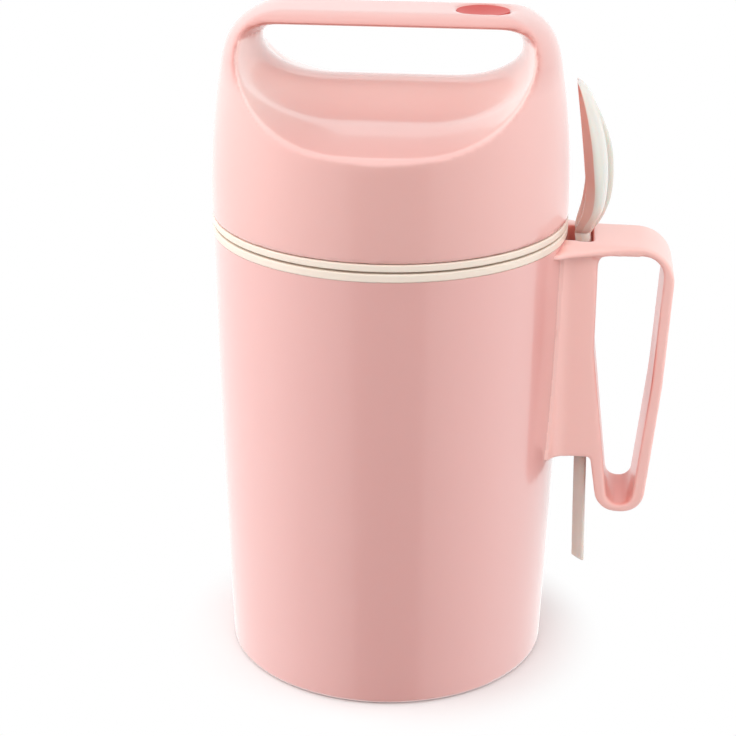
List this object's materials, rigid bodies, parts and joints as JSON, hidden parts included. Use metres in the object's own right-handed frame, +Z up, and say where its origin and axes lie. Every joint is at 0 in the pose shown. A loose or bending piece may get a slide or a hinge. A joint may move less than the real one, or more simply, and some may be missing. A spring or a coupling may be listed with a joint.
{
  "type": "insulated food jar",
  "caption": "Round insulated jar with a twist-lock lid under a carry arch, and a side handle with a sleeve that holds a spoon.",
  "frame": {"origin": "centre of the flat face that the jar stands on", "axes": "+Z up along the jar's axis; +X towards the side handle; the lid's carry arch runs along X"},
  "size_m": [0.1506, 0.1162, 0.2204],
  "materials": {
    "casing_pink": "gloss",
    "lid_pink": "gloss",
    "handle_pink": "gloss",
    "base_pink": "satin",
    "band_cream": "gloss",
    "liner_cream": "gloss",
    "mouth_white": "gloss",
    "plug_white": "gloss",
    "inlay_coral": "gloss",
    "spoon_plastic": "translucent gloss",
    "insert_glass": "clear",
    "insert_silvered": "silvered",
    "gasket_silicone": "satin",
    "seal_silicone": "satin",
    "seal_rubber": "matte",
    "cushion_rubber": "matte",
    "spacer_felt": "matte",
    "collar_foam": "matte",
    "plug_foam": "matte",
    "lid_foam": "matte",
    "screw_steel": "satin"
  },
  "bodies": {
    "jar": {"outer_casing": "casing_pink", "base_plate": "base_pink", "base_seal": "seal_rubber", "tip_cushion": "cushion_rubber", "insert_inner": "insert_glass", "insert_outer": "insert_silvered", "insert_pads": "spacer_felt", "insert_collar": "collar_foam", "mouth_gasket": "gasket_silicone", "neck_ring": "band_cream", "mouth_funnel": "mouth_white", "side_handle": "handle_pink", "handle_screws": "screw_steel"},
    "seal": {"lid_seal": "seal_silicone"},
    "lid": {"lid_liner": "liner_cream", "lid_plug": "plug_white", "plug_foam": "plug_foam", "lid_foam": "lid_foam", "lid_shell": "lid_pink", "handle_inlay": "inlay_coral"},
    "spoon": {"spoon": "spoon_plastic"}
  },
  "joints": [
    {"name": "lid_lift", "type": "slide", "parent": "jar", "child": "seal", "axis": [0, 0, 1], "range_m": [0, 0.05]},
    {"name": "lid_turn", "type": "hinge", "parent": "seal", "child": "lid", "pos_m": [0, 0, 0.1519], "axis": [0, 0, 1], "range_deg": [-70, 0]},
    {"name": "spoon_pull", "type": "slide", "parent": "jar", "child": "spoon", "axis": [-0.0201, 0, 0.9998], "range_m": [0, 0.12]}
  ]
}
